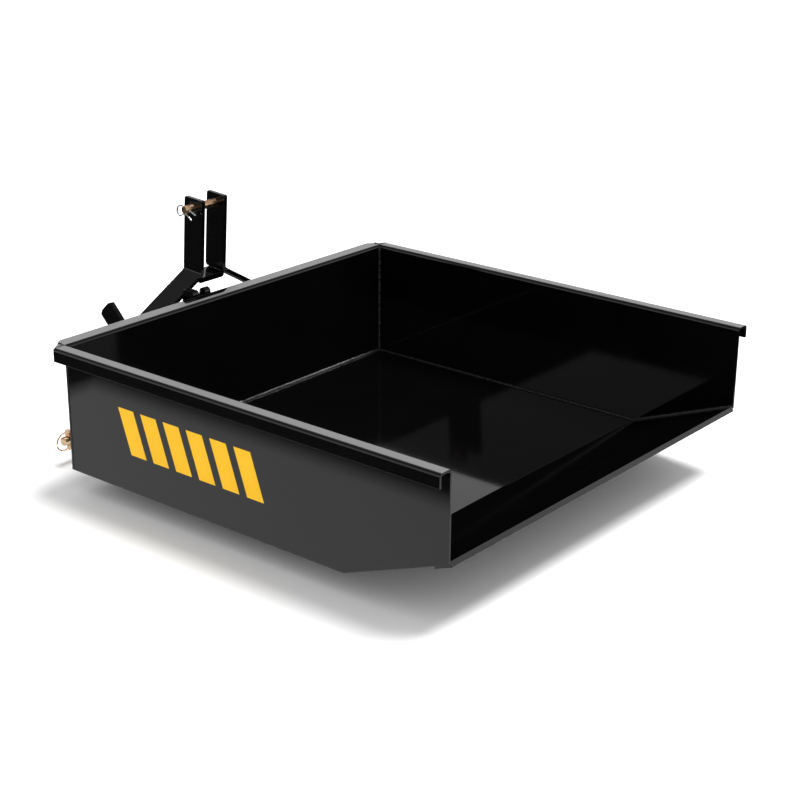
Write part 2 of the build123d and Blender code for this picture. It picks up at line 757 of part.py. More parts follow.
# The inner bearing hangs under the left leg and the outer one stands on it.
spread_slope = math.hypot(1, spread_tan)
leg_normal = (
    -1 / spread_slope,
    mast_up[1] * spread_tan / spread_slope,
    mast_up[2] * spread_tan / spread_slope,
)
bend_centre = (-mast_gap / 2, -mast_up[1] * mast_bend_drop, top_pin_z - mast_up[2] * mast_bend_drop)
leg_underside = Plane(origin=bend_centre, z_dir=leg_normal)
leg_top = leg_underside.offset(bar_thickness)
for bearing_name, bearing_x, leg_face, kept in (
    ("bearing_inner", bearing_xs[0], leg_underside, Keep.BOTTOM),
    ("bearing_outer", bearing_xs[1], leg_top, Keep.TOP),
):
    leg_z = bend_centre[2] - mast_up[2] * (-bearing_x - mast_gap / 2) / spread_tan
    foot_y = rear_edge_y(leg_z)
    with BuildPart() as shaft_bearing:
        with BuildSketch(Plane.YZ.offset(bearing_x - bearing_thickness / 2)):
            with Locations((rockshaft_y, rockshaft_z)):
                Circle(bearing_radius)
            with BuildLine():
                Polyline(
                    (rockshaft_y - bearing_radius, rockshaft_z),
                    (foot_y, leg_z),
                    (foot_y + bearing_foot, leg_z),
                    (rockshaft_y + bearing_radius, rockshaft_z),
                    close=True,
                )
            make_face()
            with Locations((foot_y + bearing_foot / 2, leg_z)):
                Rectangle(bearing_foot, 2 * bearing_thickness)
            with Locations((rockshaft_y, rockshaft_z)):
                Circle(rockshaft_diameter / 2 + rockshaft_bore_gap, mode=Mode.SUBTRACT)
        extrude(amount=bearing_thickness)
        split(bisect_by=leg_face, keep=kept)
    save(shaft_bearing.part, bearing_name)

with BuildPart() as torsion_spring:
    with BuildSketch(Plane.YZ.offset(bearing_xs[1] - bearing_thickness / 2)):
        with Locations((rockshaft_y, rockshaft_z)):
            Circle(spring_coil_radius + spring_wire / 2)
            Circle(spring_coil_radius - spring_wire / 2, mode=Mode.SUBTRACT)
    extrude(amount=-spring_length)
save(torsion_spring.part, "torsion_spring")

with BuildPart() as rim_guide:
    with BuildSketch(Plane.YZ.offset(guide_x - guide_thickness / 2)) as guide_face:
        with BuildLine():
            Polyline(
                (guide_rear_y, guide_bottom_z),
                (rear_edge_y(guide_bottom_z), guide_bottom_z),
                (rear_edge_y(guide_top_z), guide_top_z),
                (guide_rear_y, guide_top_z),
                close=True,
            )
        make_face()
        fillet(guide_face.vertices().sort_by(Axis.X)[0:2].sort_by(Axis.Y)[-1], guide_round)
    extrude(amount=guide_thickness)
save(rim_guide.part, "rim_guide")
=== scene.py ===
import logging
import math
from dataclasses import dataclass, field
from enum import Enum

import bpy
import numpy as np
from mathutils import Matrix, Vector


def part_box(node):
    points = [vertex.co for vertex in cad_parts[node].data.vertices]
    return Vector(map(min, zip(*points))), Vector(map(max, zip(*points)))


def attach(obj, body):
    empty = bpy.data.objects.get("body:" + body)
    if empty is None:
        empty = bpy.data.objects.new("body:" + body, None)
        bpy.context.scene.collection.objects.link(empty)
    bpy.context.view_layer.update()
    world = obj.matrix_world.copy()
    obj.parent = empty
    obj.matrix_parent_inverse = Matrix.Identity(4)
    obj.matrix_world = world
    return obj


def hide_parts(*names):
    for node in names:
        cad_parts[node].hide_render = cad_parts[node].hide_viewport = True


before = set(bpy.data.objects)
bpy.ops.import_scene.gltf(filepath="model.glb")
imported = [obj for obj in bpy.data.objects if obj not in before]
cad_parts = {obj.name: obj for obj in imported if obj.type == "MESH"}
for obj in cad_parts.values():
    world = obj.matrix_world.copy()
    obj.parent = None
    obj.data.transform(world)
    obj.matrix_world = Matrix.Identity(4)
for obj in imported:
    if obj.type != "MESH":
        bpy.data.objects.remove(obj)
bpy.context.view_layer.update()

log = logging.getLogger("transport_box")
MM = 0.001
Point = tuple[float, float, float]


class Body(Enum):
    """Moving bodies that new pieces ride on."""

    HITCH = "hitch_frame"
    BOX = "box"
    TRIP = "trip_latch"


class Slot(Enum):
    """Material slots of the record."""

    BLACK = "black_paint"
    BRIGHT = "bright_zinc"


# ---- Shader building --------------------------------------------------------------------------
class Channel:
    """A number socket whose arithmetic adds Math nodes."""

    def __init__(self, recipe: "Recipe", socket: bpy.types.NodeSocket) -> None:
        """Keep the recipe and the socket that gives the number."""
        self.recipe = recipe
        self.socket = socket

    def _math(self, operation: str, first: object, second: object) -> "Channel":
        """Add one Math node.

        Args:
            operation: the Math node's operation.
            first: first value, a number or a Channel.
            second: second value, a number or a Channel.

        Returns:
            The node's result.
        """
        node = self.recipe.add("ShaderNodeMath", {"operation": operation}, {0: first, 1: second})
        return Channel(self.recipe, node.outputs[0])

    def __add__(self, other: object) -> "Channel":
        """Sum."""
        return self._math("ADD", self, other)

    def __radd__(self, other: object) -> "Channel":
        """Reflected sum."""
        return self._math("ADD", other, self)

    def __sub__(self, other: object) -> "Channel":
        """Difference."""
        return self._math("SUBTRACT", self, other)

    def __rsub__(self, other: object) -> "Channel":
        """Reflected difference."""
        return self._math("SUBTRACT", other, self)

    def __mul__(self, other: object) -> "Channel":
        """Product."""
        return self._math("MULTIPLY", self, other)

    def __rmul__(self, other: object) -> "Channel":
        """Reflected product."""
        return self._math("MULTIPLY", other, self)

    def __pow__(self, other: float) -> "Channel":
        """Power."""
        return self._math("POWER", self, other)

    def clamped(self) -> "Channel":
        """The number held between 0 and 1."""
        return self._math("MINIMUM", self._math("MAXIMUM", self, 0.0), 1.0)


class Recipe:
    """Node tree of one material or world, built by adding nodes."""

    def __init__(self, tree: bpy.types.NodeTree) -> None:
        """Start from an empty tree."""
        self.tree = tree
        self.tree.nodes.clear()

    def add(self, kind: str, settings: dict, values: dict) -> bpy.types.Node:
        """Add a node, its settings first and then its sockets.

        Args:
            kind: the node's type.
            settings: property names and values; "stops" fills a colour ramp.
            values: socket names or numbers, with constants, sockets or Channels.

        Returns:
            The new node.
        """
        node = self.tree.nodes.new(kind)
        for name, value in settings.items():
            if name == "stops":
                self._fill_ramp(node.color_ramp, value)
            else:
                setattr(node, name, value)
        for key, value in values.items():
            source = value.socket if isinstance(value, Channel) else value
            if isinstance(source, bpy.types.NodeSocket):
                self.tree.links.new(source, node.inputs[key])
            else:
                node.inputs[key].default_value = source
        return node

    @staticmethod
    def _fill_ramp(ramp: bpy.types.ColorRamp, stops: list) -> None:
        """Set a ramp's stops from (position, colour) pairs.

        Args:
            ramp: the ramp to fill.
            stops: two or more pairs in rising order.
        """
        while len(ramp.elements) < len(stops):
            ramp.elements.new(0.5)
        for element, (position, colour) in zip(ramp.elements, stops):
            element.position = position
            element.color = (*colour, 1.0)

    def place(self) -> bpy.types.NodeSocket:
        """Object coordinates, in metres."""
        return self.add("ShaderNodeTexCoord", {}, {}).outputs["Object"]

    def noise(self, place: bpy.types.NodeSocket, size: float, detail: float = 2.0) -> Channel:
        """Noise whose features are about a given size.

        Args:
            place: coordinates in metres.
            size: size of a feature in metres.
            detail: how much finer detail it has.

        Returns:
            The noise, from 0 to 1.
        """
        values = {"Vector": place, "Scale": 1.0 / size, "Detail": detail}
        return Channel(self, self.add("ShaderNodeTexNoise", {}, values).outputs["Fac"])

    def ramp(self, fac: Channel, stops: list) -> bpy.types.NodeSocket:
        """Colour ramp over a channel.

        Args:
            fac: where on the ramp to read.
            stops: (position, colour) pairs.

        Returns:
            The ramp's colour.
        """
        return self.add("ShaderNodeValToRGB", {"stops": stops}, {"Fac": fac}).outputs["Color"]

    def blend(self, fac: Channel, low: object, high: object) -> bpy.types.NodeSocket:
        """Mix two colours.

        Args:
            fac: share of the second colour.
            low: colour or socket at 0.
            high: colour or socket at 1.

        Returns:
            The mixed colour.
        """
        node = self.add("ShaderNodeMix", {"data_type": "RGBA"}, {0: fac, 6: low, 7: high})
        return node.outputs[2]

    def relief(self, height: Channel, depth: float, edge_radius: float) -> bpy.types.NodeSocket:
        """Bump over softly rounded edges.

        Args:
            height: height from 0 to 1.
            depth: what height 1 stands for, in metres.
            edge_radius: radius that sharp edges seem to have, in metres.

        Returns:
            The normal.
        """
        rounded = self.add("ShaderNodeBevel", {"samples": 4}, {"Radius": edge_radius})
        values = {"Strength": 1.0, "Distance": depth, "Height": height, "Normal": rounded.outputs[0]}
        return self.add("ShaderNodeBump", {}, values).outputs[0]

    def principled(self, values: dict) -> None:
        """Finish the tree with a Principled shader.

        Args:
            values: its sockets' constants and links.
        """
        shader = self.add("ShaderNodeBsdfPrincipled", {}, values)
        self.add("ShaderNodeOutputMaterial", {}, {"Surface": shader.outputs[0]})


def new_recipe(name: str) -> tuple[bpy.types.Material, Recipe]:
    """Make an empty node material.

    Args:
        name: the material's name.

    Returns:
        The material and its recipe.
    """
    material = bpy.data.materials.new(name)
    material.use_nodes = True
    return material, Recipe(material.node_tree)


# ---- Finishes ---------------------------------------------------------------------------------
@dataclass(frozen=True)
class PowderCoat:
    """Gloss black powder coat with orange peel and faint handling marks.

    Above rim_z, where the sheet's top faces the light, a painted sheen makes the coat pale grey, and it is
    rougher.
    """

    name: str = "black_powder_coat"
    deep: Point = (0.0007, 0.0007, 0.0008)
    dusty: Point = (0.0020, 0.0020, 0.0021)
    # painted sheen: pale grey given to the rim's top faces for the light they catch
    rim_painted_sheen_colour: Point = (0.125, 0.125, 0.128)
    dust_share: float = 1.6
    gloss_roughness: float = 0.035
    smudge_roughness: float = 0.06
    grit_roughness: float = 0.015
    rim_roughness: float = 0.30
    rim_grit_roughness: float = 0.12
    refraction: float = 1.5
    haze_size: float = 160 * MM
    grit_size: float = 9 * MM
    peel_size: float = 2.4 * MM
    peel_depth: float = 0.004 * MM
    edge_radius: float = 1.0 * MM
    rim_z: float | None = None
    rim_blend: float = 0.6 * MM

    def material(self) -> bpy.types.Material:
        """Build the material."""
        material, recipe = new_recipe(self.name)
        place = recipe.place()
        haze = recipe.noise(place, self.haze_size, 4.0)
        grit = recipe.noise(place, self.grit_size, 3.0)
        peel = recipe.noise(place, self.peel_size, 1.0)
        colour = recipe.blend(haze * grit * self.dust_share, (*self.deep, 1.0), (*self.dusty, 1.0))
        roughness = self.gloss_roughness + haze ** 2.0 * self.smudge_roughness + grit * self.grit_roughness
        if self.rim_z is not None:
            parts = recipe.add("ShaderNodeSeparateXYZ", {}, {0: place})
            height = Channel(recipe, parts.outputs["Z"])
            # mask of the top faces that get the painted sheen
            top = ((height - (self.rim_z - self.rim_blend)) * (1 / self.rim_blend)).clamped()
            colour = recipe.blend(top, colour, (*self.rim_painted_sheen_colour, 1.0))
            roughness = roughness + top * (self.rim_roughness + grit * self.rim_grit_roughness)
        recipe.principled({
            "Base Color": colour,
            "Roughness": roughness,
            "IOR": self.refraction,
            "Normal": recipe.relief(peel, self.peel_depth, self.edge_radius),
        })
        return material


@dataclass(frozen=True)
class PaintedWeld:
    """Powder coat over a rippled bead, with small spatter."""

    name: str = "painted_weld"
    colour: Point = (0.0010, 0.0010, 0.0011)
    bare: Point = (0.030, 0.029, 0.028)
    roughness: float = 0.07
    spatter_roughness: float = 0.14
    refraction: float = 1.5
    spatter_size: float = 1.6 * MM
    spatter_depth: float = 0.45 * MM
    edge_radius: float = 0.5 * MM

    def material(self) -> bpy.types.Material:
        """Build the material."""
        material, recipe = new_recipe(self.name)
        place = recipe.place()
        spatter = recipe.noise(place, self.spatter_size, 2.0)
        recipe.principled({
            "Base Color": recipe.blend(spatter ** 3.0, (*self.colour, 1.0), (*self.bare, 1.0)),
            "Roughness": self.roughness + spatter * self.spatter_roughness,
            "IOR": self.refraction,
            "Normal": recipe.relief(spatter, self.spatter_depth, self.edge_radius),
        })
        return material


@dataclass(frozen=True)
class YellowZinc:
    """Zinc plate with a yellow passivate that shifts to red and green."""

    name: str = "yellow_zinc_plate"
    gold: Point = (0.66, 0.39, 0.22)
    red: Point = (0.55, 0.22, 0.15)
    green: Point = (0.46, 0.45, 0.22)
    pale: Point = (0.85, 0.64, 0.42)
    stops: tuple[float, float, float, float] = (0.30, 0.45, 0.60, 0.75)
    roughness: float = 0.20
    bloom_roughness: float = 0.16
    bloom_size: float = 14 * MM
    turning_size: float = 0.7 * MM
    turning_depth: float = 0.02 * MM
    edge_radius: float = 0.6 * MM

    def material(self) -> bpy.types.Material:
        """Build the material."""
        material, recipe = new_recipe(self.name)
        place = recipe.place()
        bloom = recipe.noise(place, self.bloom_size, 2.0)
        turning = recipe.noise(place, self.turning_size, 1.0)
        tints = (self.red, self.gold, self.pale, self.green)
        recipe.principled({
            "Base Color": recipe.ramp(bloom, list(zip(self.stops, tints))),
            "Metallic": 1.0,
            "Roughness": self.roughness + bloom * self.bloom_roughness,
            "Normal": recipe.relief(turning, self.turning_depth, self.edge_radius),
        })
        return material


@dataclass(frozen=True)
class BrightZinc:
    """Clear zinc plate on wire and small turned parts."""

    name: str = "bright_zinc_plate"
    bright: Point = (0.80, 0.81, 0.83)
    dull: Point = (0.50, 0.51, 0.54)
    roughness: float = 0.14
    cloud_roughness: float = 0.18
    cloud_size: float = 10 * MM
    drawn_size: float = 0.6 * MM
    drawn_depth: float = 0.015 * MM
    edge_radius: float = 0.5 * MM

    def material(self) -> bpy.types.Material:
        """Build the material."""
        material, recipe = new_recipe(self.name)
        place = recipe.place()
        cloud = recipe.noise(place, self.cloud_size, 3.0)
        drawn = recipe.noise(place, self.drawn_size, 1.0)
        recipe.principled({
            "Base Color": recipe.blend(cloud, (*self.dull, 1.0), (*self.bright, 1.0)),
            "Metallic": 1.0,
            "Roughness": self.roughness + cloud * self.cloud_roughness,
            "Normal": recipe.relief(drawn, self.drawn_depth, self.edge_radius),
        })
        return material


@dataclass(frozen=True)
class YellowFilm:
    """Yellow vinyl film with a faint texture."""

    name: str = "yellow_film"
    fresh: Point = (0.88, 0.49, 0.006)
    worn: Point = (0.80, 0.43, 0.005)
    roughness: float = 0.34
    fade_roughness: float = 0.14
    specular: float = 0.2
    fade_size: float = 45 * MM
    grain_size: float = 0.9 * MM
    grain_depth: float = 0.02 * MM
    edge_radius: float = 0.1 * MM

    def material(self) -> bpy.types.Material:
        """Build the material."""
        material, recipe = new_recipe(self.name)
        place = recipe.place()
        fade = recipe.noise(place, self.fade_size, 4.0)
        grain = recipe.noise(place, self.grain_size, 1.0)
        recipe.principled({
            "Base Color": recipe.blend(fade, (*self.fresh, 1.0), (*self.worn, 1.0)),
            "Roughness": self.roughness + fade * self.fade_roughness,
            "Specular IOR Level": self.specular,
            "Normal": recipe.relief(grain, self.grain_depth, self.edge_radius),
        })
        return material


@dataclass
class Finishes:
    """The materials, each built once."""

    powder: bpy.types.Material = field(default_factory=lambda: PowderCoat().material())
    # the black coat with the painted sheen on the rim's top faces
    rim_sheen_powder: bpy.types.Material = field(
        default_factory=lambda: PowderCoat(name="painted_sheen_rim_coat", rim_z=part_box("headboard")[1].z).material()
    )
    weld: bpy.types.Material = field(default_factory=lambda: PaintedWeld().material())
    yellow: bpy.types.Material = field(default_factory=lambda: YellowZinc().material())
    bright: bpy.types.Material = field(default_factory=lambda: BrightZinc().material())
    film: bpy.types.Material = field(default_factory=lambda: YellowFilm().material())

    def dress(self, nodes: list[str], material: bpy.types.Material) -> None:
        """Give CAD nodes a material.

        Args:
            nodes: node names.
            material: the material for all of them.
        """
        for name in nodes:
            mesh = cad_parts[name].data
            mesh.materials.clear()
            mesh.materials.append(material)
            log.info("dressed %s in %s", name, material.name)


# ---- Surfaces ---------------------------------------------------------------------------------
def add_piece(name: str, points: np.ndarray, faces: list, material: bpy.types.Material) -> bpy.types.Object:
    """Make a mesh object whose faces point outwards.

    The sign of the volume, the sum of a . (b x c) / 6 over each face's fan of triangles,
    says whether the faces have to be turned.

    Args:
        name: the object's name.
        points: corner positions, one row each.
        faces: lists of corner numbers.
        material: the finish.

    Returns:
        The new object, at the origin.
    """
    triangles = np.array([(f[0], f[i], f[i + 1]) for f in faces for i in range(1, len(f) - 1)])
    a, b, c = (points[triangles[:, k]] for k in range(3))
    if np.einsum("ij,ij->i", a, np.cross(b, c)).sum() < 0:
        faces = [f[::-1] for f in faces]
    mesh = bpy.data.meshes.new(name)
    mesh.from_pydata(points.tolist(), [], faces)
    mesh.update()
    mesh.materials.append(material)
    piece = bpy.data.objects.new(name, mesh)
    bpy.context.scene.collection.objects.link(piece)
    return piece


def swept_tube(
    name: str,
    path: np.ndarray,
    normals: np.ndarray,
    radii: np.ndarray,
    material: bpy.types.Material,
    closed: bool = False,
) -> bpy.types.Object:
    """Round section carried along a path.

    position(s, a) = path(s) + r(s, a) (cos a N(s) + sin a B(s)), with B = T x N and T the
    path's direction. Open ends are closed by a fan to the path's own end.

    Args:
        name: the object's name.
        path: points along the path.
        normals: a unit vector across the path at each point.
        radii: radius for each path point and each step round the section.
        material: the finish.
        closed: whether the last ring joins the first.

    Returns:
        The tube.
    """
    rows, columns = radii.shape
    if closed:
        tangent = np.roll(path, -1, axis=0) - np.roll(path, 1, axis=0)
    else:
        tangent = np.gradient(path, axis=0)
    tangent /= np.linalg.norm(tangent, axis=1, keepdims=True)
    across = np.cross(tangent, normals)
    angle = np.linspace(0, 2 * math.pi, columns, endpoint=False)
    spokes = np.cos(angle)[None, :, None] * normals[:, None] + np.sin(angle)[None, :, None] * across[:, None]
    points = (path[:, None] + radii[:, :, None] * spokes).reshape(-1, 3)
    row, column = np.meshgrid(np.arange(rows if closed else rows - 1), np.arange(columns), indexing="ij")
    here, there = row * columns, (row + 1) % rows * columns
    turn = (column + 1) % columns
    quads = np.stack([here + column, here + turn, there + turn, there + column], axis=-1).reshape(-1, 4)
    faces = quads.tolist()
    if not closed:
        points = np.vstack([points, path[0], path[-1]])
        ring = np.arange(columns)
        after = (ring + 1) % columns
        first, last = rows * columns, rows * columns + 1
        start = np.stack([np.full(columns, first), after, ring], axis=-1)
        base = (rows - 1) * columns
        end = np.stack([np.full(columns, last), base + ring, base + after], axis=-1)
        faces += start.tolist() + end.tolist()
    piece = add_piece(name, points, faces, material)
    piece.data.polygons.foreach_set("use_smooth", np.ones(len(piece.data.polygons), bool))
    return piece


def resample(corners: list[Point], spacing: float) -> np.ndarray:
    """Even points along a polyline.

    Args:
        corners: the polyline's corners.
        spacing: distance between points.

    Returns:
        The points, one row each.
    """
    knots = np.array(corners, float)
    reach = np.concatenate([[0], np.cumsum(np.linalg.norm(np.diff(knots, axis=0), axis=1))])
    steps = np.linspace(0, reach[-1], max(8, round(reach[-1] / spacing)))
    return np.stack([np.interp(steps, reach, knots[:, k]) for k in range(3)], axis=-1)


@dataclass(frozen=True)
class WeldGun:
    """Lays rippled beads.

    The radius is r(s, a) = leg (1 + h cos(2 pi (s / pitch - bow cos a)) + lumps(s)), where lumps is a
    sum of sines of unrelated lengths, times a rounding that falls to nothing at both ends like a
    quarter circle.
    """

    material: bpy.types.Material
    pitch: float = 4.6 * MM
    ripple: float = 0.20
    bow: float = 0.40
    lumps: tuple[tuple[float, float, float], ...] = (
        (0.13, 31 * MM, 0.0), (0.13, 17.3 * MM, 1.1), (0.12, 9.1 * MM, 2.3),
    )
    columns: int = 10
    rows_per_ripple: int = 4
    least_ripples: int = 6
    end_legs: float = 1.5               # legs over which an end is rounded
    tip_share: float = 0.02             # how far along that rounding the first ring stands

    def _radii(self, distance: np.ndarray, leg: float, closed: bool) -> np.ndarray:
        """Radius at each path point and step round the bead.

        Args:
            distance: distance along the bead.
            leg: the bead's mean radius.
            closed: whether it is a full ring, without ends.

        Returns:
            The radii.
        """
        angle = np.linspace(0, 2 * math.pi, self.columns, endpoint=False)
        phase = distance[:, None] / self.pitch - self.bow * np.cos(angle)[None, :]
        swell = 1 + self.ripple * np.cos(2 * math.pi * phase)
        for share, length, shift in self.lumps:
            swell += share * np.sin(2 * math.pi * distance / length + shift)[:, None]
        if closed:
            return leg * swell
        near_end = np.minimum(distance, distance[-1] - distance)
        along = np.clip(near_end / (self.end_legs * leg), self.tip_share, 1)
        taper = np.sqrt(1 - (1 - along) ** 2)
        return leg * swell * taper[:, None]

    def seam(
        self, name: str, corners: list[Point], normal: Point, leg: float, body: Body
    ) -> bpy.types.Object:
        """Bead along a polyline.

        Args:
            name: the piece's name.
            corners: the seam's corners, in metres.
            normal: a direction across the seam.
            leg: bead radius in metres.
            body: what it rides on.

        Returns:
            The bead.
        """
        path = resample(corners, self.pitch / self.rows_per_ripple)
        distance = np.concatenate([[0], np.cumsum(np.linalg.norm(np.diff(path, axis=0), axis=1))])
        tangent = np.gradient(path, axis=0)
        tangent /= np.linalg.norm(tangent, axis=1, keepdims=True)
        across = np.array(normal, float)
        normals = across - (tangent @ across)[:, None] * tangent
        normals /= np.linalg.norm(normals, axis=1, keepdims=True)
        bead = swept_tube(name, path, normals, self._radii(distance, leg, False), self.material)
        return self._settle(bead, body)

    def ring(self, name: str, centre: Point, radius: float, leg: float, body: Body) -> bpy.types.Object:
        """Bead round a shaft that runs across the machine.

        Args:
            name: the piece's name.
            centre: middle of the ring.
            radius: the shaft's radius.
            leg: bead radius in metres.
            body: what it rides on.

        Returns:
            The bead.
        """
        ripples = max(self.least_ripples, round(2 * math.pi * radius / self.pitch))
        turn = np.linspace(0, 2 * math.pi, self.rows_per_ripple * ripples, endpoint=False)
        radial = np.stack([np.zeros_like(turn), np.cos(turn), np.sin(turn)], axis=-1)
        path = np.array(centre, float) + radius * radial
        distance = turn / (2 * math.pi) * ripples * self.pitch
        radii = self._radii(distance, leg, True)
        bead = swept_tube(name, path, radial, radii, self.material, closed=True)
        return self._settle(bead, body)

    def _settle(self, bead: bpy.types.Object, body: Body) -> bpy.types.Object:
        """Let a bead ride on its body.

        Args:
            bead: the bead.
            body: the body.

        Returns:
            The same bead.
        """
        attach(bead, body.value)
        log.info("laid %s", bead.name)
        return bead


# ---- The load box -----------------------------------------------------------------------------
@dataclass
class LoadBox:
    """Folded box: seams between its sheets, and the yellow bars on its left wall."""

    finishes: Finishes
    gun: WeldGun
    sheet: float = 4.76 * MM
    ramp_length: float = 248 * MM
    ramp_rise: float = 95 * MM
    wall_bead: float = 4.0 * MM
    corner_bead: float = 2.6 * MM
    corner_cut: float = 22 * MM
    corner_sink: float = 0.8 * MM       # a corner bead's middle, below the rim's top
    corner_dip: float = 1.5 * MM        # how much lower its outer end starts
    corner_inset: float = 5 * MM        # its outer end, in from the plate's end
    corner_step: float = 2 * MM         # its bend, out from the wall
    corner_back: float = 3 * MM         # its inner end, back from the front rim's edge
    edge_bead: float = 1.3 * MM
    edge_bead_foot: float = 4 * MM      # above the floor's underside
    edge_bead_drop: float = 34 * MM     # below the rim's top
    stringer_stitches: int = 5
    stringer_rear: float = 40 * MM      # first stitch, from a stringer's rear end
    stringer_front: float = 80 * MM     # last stitch's start, from its front end
    rib_stitches: int = 4
    rib_inset: float = 60 * MM
    edge_bar_stitches: int = 6
    edge_bar_inset: float = 40 * MM
    stitch_length: float = 45 * MM
    stitch_bead: float = 3.0 * MM
    bar_stitch_bead: float = 2.6 * MM
    bar_count: int = 6
    bars_front: float = 158 * MM        # headboard to the first bar
    bars_length: float = 408 * MM
    bars_bottom: float = 84 * MM        # above the floor's underside
    bars_height: float = 98 * MM
    bar_slant: float = 34 * MM
    bar_gap: float = 21 * MM
    film_thickness: float = 0.25 * MM

    plain_nodes: tuple[str, ...] = (
        "floor_sheet", "catch_plate", "edge_bar", "floor_stringer_left", "floor_stringer_right", "cross_rib",
        "pivot_lug_left", "pivot_lug_right",
    )
    rim_nodes: tuple[str, ...] = (
        "side_sheet_left", "side_sheet_right", "headboard", "rim_corner_left", "rim_corner_right",
    )

    def __post_init__(self) -> None:
        """Read where the box stands."""
        floor_low, floor_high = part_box("floor_sheet")
        wall_low, wall_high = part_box("side_sheet_left")
        board_low, board_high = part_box("headboard")
        self.inner_x = floor_high.x
        self.outer_x = board_high.x
        self.front_y = wall_high.y
        self.inside_y = board_low.y
        self.end_y = wall_low.y
        self.floor_z = floor_low.z
        self.rim_z = board_high.z
        self.lip_y = board_high.y
        self.slope = math.atan2(self.ramp_rise, self.ramp_length)

    def floor_line(self, side: float) -> list[Point]:
        """Top of the floor along a side wall, as corners from the headboard to the open end.

        Args:
            side: -1 for left and 1 for right.

        Returns:
            Three corners.
        """
        top = self.floor_z + self.sheet
        fold_y = self.end_y + self.ramp_length + self.sheet * math.tan(self.slope / 2)
        tail_y = self.end_y + self.sheet * math.sin(self.slope)
        tail_z = self.floor_z + self.ramp_rise + self.sheet * math.cos(self.slope)
        x = side * self.inner_x
        return [(x, self.inside_y, top), (x, fold_y, top), (x, tail_y, tail_z)]

    def weld_sheets(self) -> None:
        """Lay the beads inside the box and the stitches under it."""
        top = self.floor_z + self.sheet
        for label, side in (("left", -1.0), ("right", 1.0)):
            x = side * self.inner_x
            line = self.floor_line(side)
            self.gun.seam(f"floor_bead_{label}", line, (-side, 0, 0), self.wall_bead, Body.BOX)
            upright = [(x, self.inside_y, top), (x, self.inside_y, self.rim_z - self.sheet)]
            self.gun.seam(f"corner_bead_{label}", upright, (-side, 0, 0), self.wall_bead, Body.BOX)
            self.close_corner(label, side)
            wall_x = side * self.outer_x
            edge = [
                (wall_x, self.inside_y, self.floor_z + self.edge_bead_foot),
                (wall_x, self.inside_y, self.rim_z - self.edge_bead_drop),
            ]
            self.gun.seam(f"wall_edge_bead_{label}", edge, (side, 0, 0), self.edge_bead, Body.BOX)
        across = [(-self.inner_x, self.inside_y, top), (self.inner_x, self.inside_y, top)]
        self.gun.seam("headboard_floor_bead", across, (0, -1, 0), self.wall_bead, Body.BOX)
        self.stitch_stringers()
        self.stitch_edge_bar()

    def close_corner(self, label: str, side: float) -> None:
        """Bead where a rim corner plate meets the side rim and the front rim.

        Args:
            label: left or right.
            side: -1 for left and 1 for right.
        """
        low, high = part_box(f"rim_corner_{label}")
        outer_x = low.x if side < 0 else high.x
        slope = (self.lip_y - self.front_y) / (abs(outer_x) - self.outer_x + self.corner_cut)
        seat_y = self.front_y + (abs(outer_x) - self.outer_x) * slope
        z = self.rim_z - self.corner_sink
        corners = [
            (outer_x - side * self.corner_inset, self.front_y, z - self.corner_dip),
            (side * (self.outer_x + self.corner_step), self.front_y, z),
            (side * self.outer_x, seat_y - self.corner_back, z),
        ]
        self.gun.seam(f"rim_corner_bead_{label}", corners, (0, 0, 1), self.corner_bead, Body.BOX)

    def stitch_stringers(self) -> None:
        """Short stitches where the stringers and the cross rib meet the floor."""
        for label, side in (("left", -1.0), ("right", 1.0)):
            low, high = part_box(f"floor_stringer_{label}")
            x = low.x if side < 0 else high.x
            first, last = low.y + self.stringer_rear, high.y - self.stringer_front
            for number, y in enumerate(np.linspace(first, last, self.stringer_stitches), 1):
                ends = [(x, float(y), self.floor_z), (x, float(y) + self.stitch_length, self.floor_z)]
                name = f"stringer_stitch_{label}_{number}"
                self.gun.seam(name, ends, (side, 0, 0), self.stitch_bead, Body.BOX)
        low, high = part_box("cross_rib")
        last = high.x - self.rib_inset - self.stitch_length
        for number, x in enumerate(np.linspace(low.x + self.rib_inset, last, self.rib_stitches), 1):
            ends = [(float(x), high.y, self.floor_z), (float(x) + self.stitch_length, high.y, self.floor_z)]
            self.gun.seam(f"rib_stitch_{number}", ends, (0, 1, 0), self.stitch_bead, Body.BOX)

    def stitch_edge_bar(self) -> None:
        """Stitches along the front of the wear bar under the open end."""
        low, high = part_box("edge_bar")
        z = self.floor_z + self.ramp_rise - (high.y - self.end_y) * math.tan(self.slope)
        last = high.x - self.edge_bar_inset - self.stitch_length
        for number, x in enumerate(np.linspace(low.x + self.edge_bar_inset, last, self.edge_bar_stitches), 1):
            ends = [(float(x), high.y, z), (float(x) + self.stitch_length, high.y, z)]
            self.gun.seam(f"edge_bar_stitch_{number}", ends, (0, 1, 0), self.bar_stitch_bead, Body.BOX)

    def lay_bars(self) -> None:
        """Slanted yellow bars on the left wall, each a thin film.

        Bar k covers y = y0 - k (width + gap) - slant (1 - v) for v from 0 at its foot to 1 at its top.
        """
        width = (self.bars_length - self.bar_slant - (self.bar_count - 1) * self.bar_gap) / self.bar_count
        low_z = self.floor_z + self.bars_bottom
        for number in range(self.bar_count):
            top_y = self.front_y - self.bars_front - number * (width + self.bar_gap)
            foot_y = top_y - self.bar_slant
            outline = np.array([
                (top_y, low_z + self.bars_height),
                (top_y - width, low_z + self.bars_height),
                (foot_y - width, low_z),
                (foot_y, low_z),
            ])
            inner = np.column_stack([np.full(4, -self.outer_x), outline])
            outer = inner - np.array([self.film_thickness, 0, 0])
            sides = [[k, (k + 1) % 4, 4 + (k + 1) % 4, 4 + k] for k in range(4)]
            faces = [[3, 2, 1, 0], [4, 5, 6, 7]] + sides
            film = add_piece(f"yellow_bar_{number + 1}", np.vstack([inner, outer]), faces, self.finishes.film)
            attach(film, Body.BOX.value)
            log.info("laid %s", film.name)

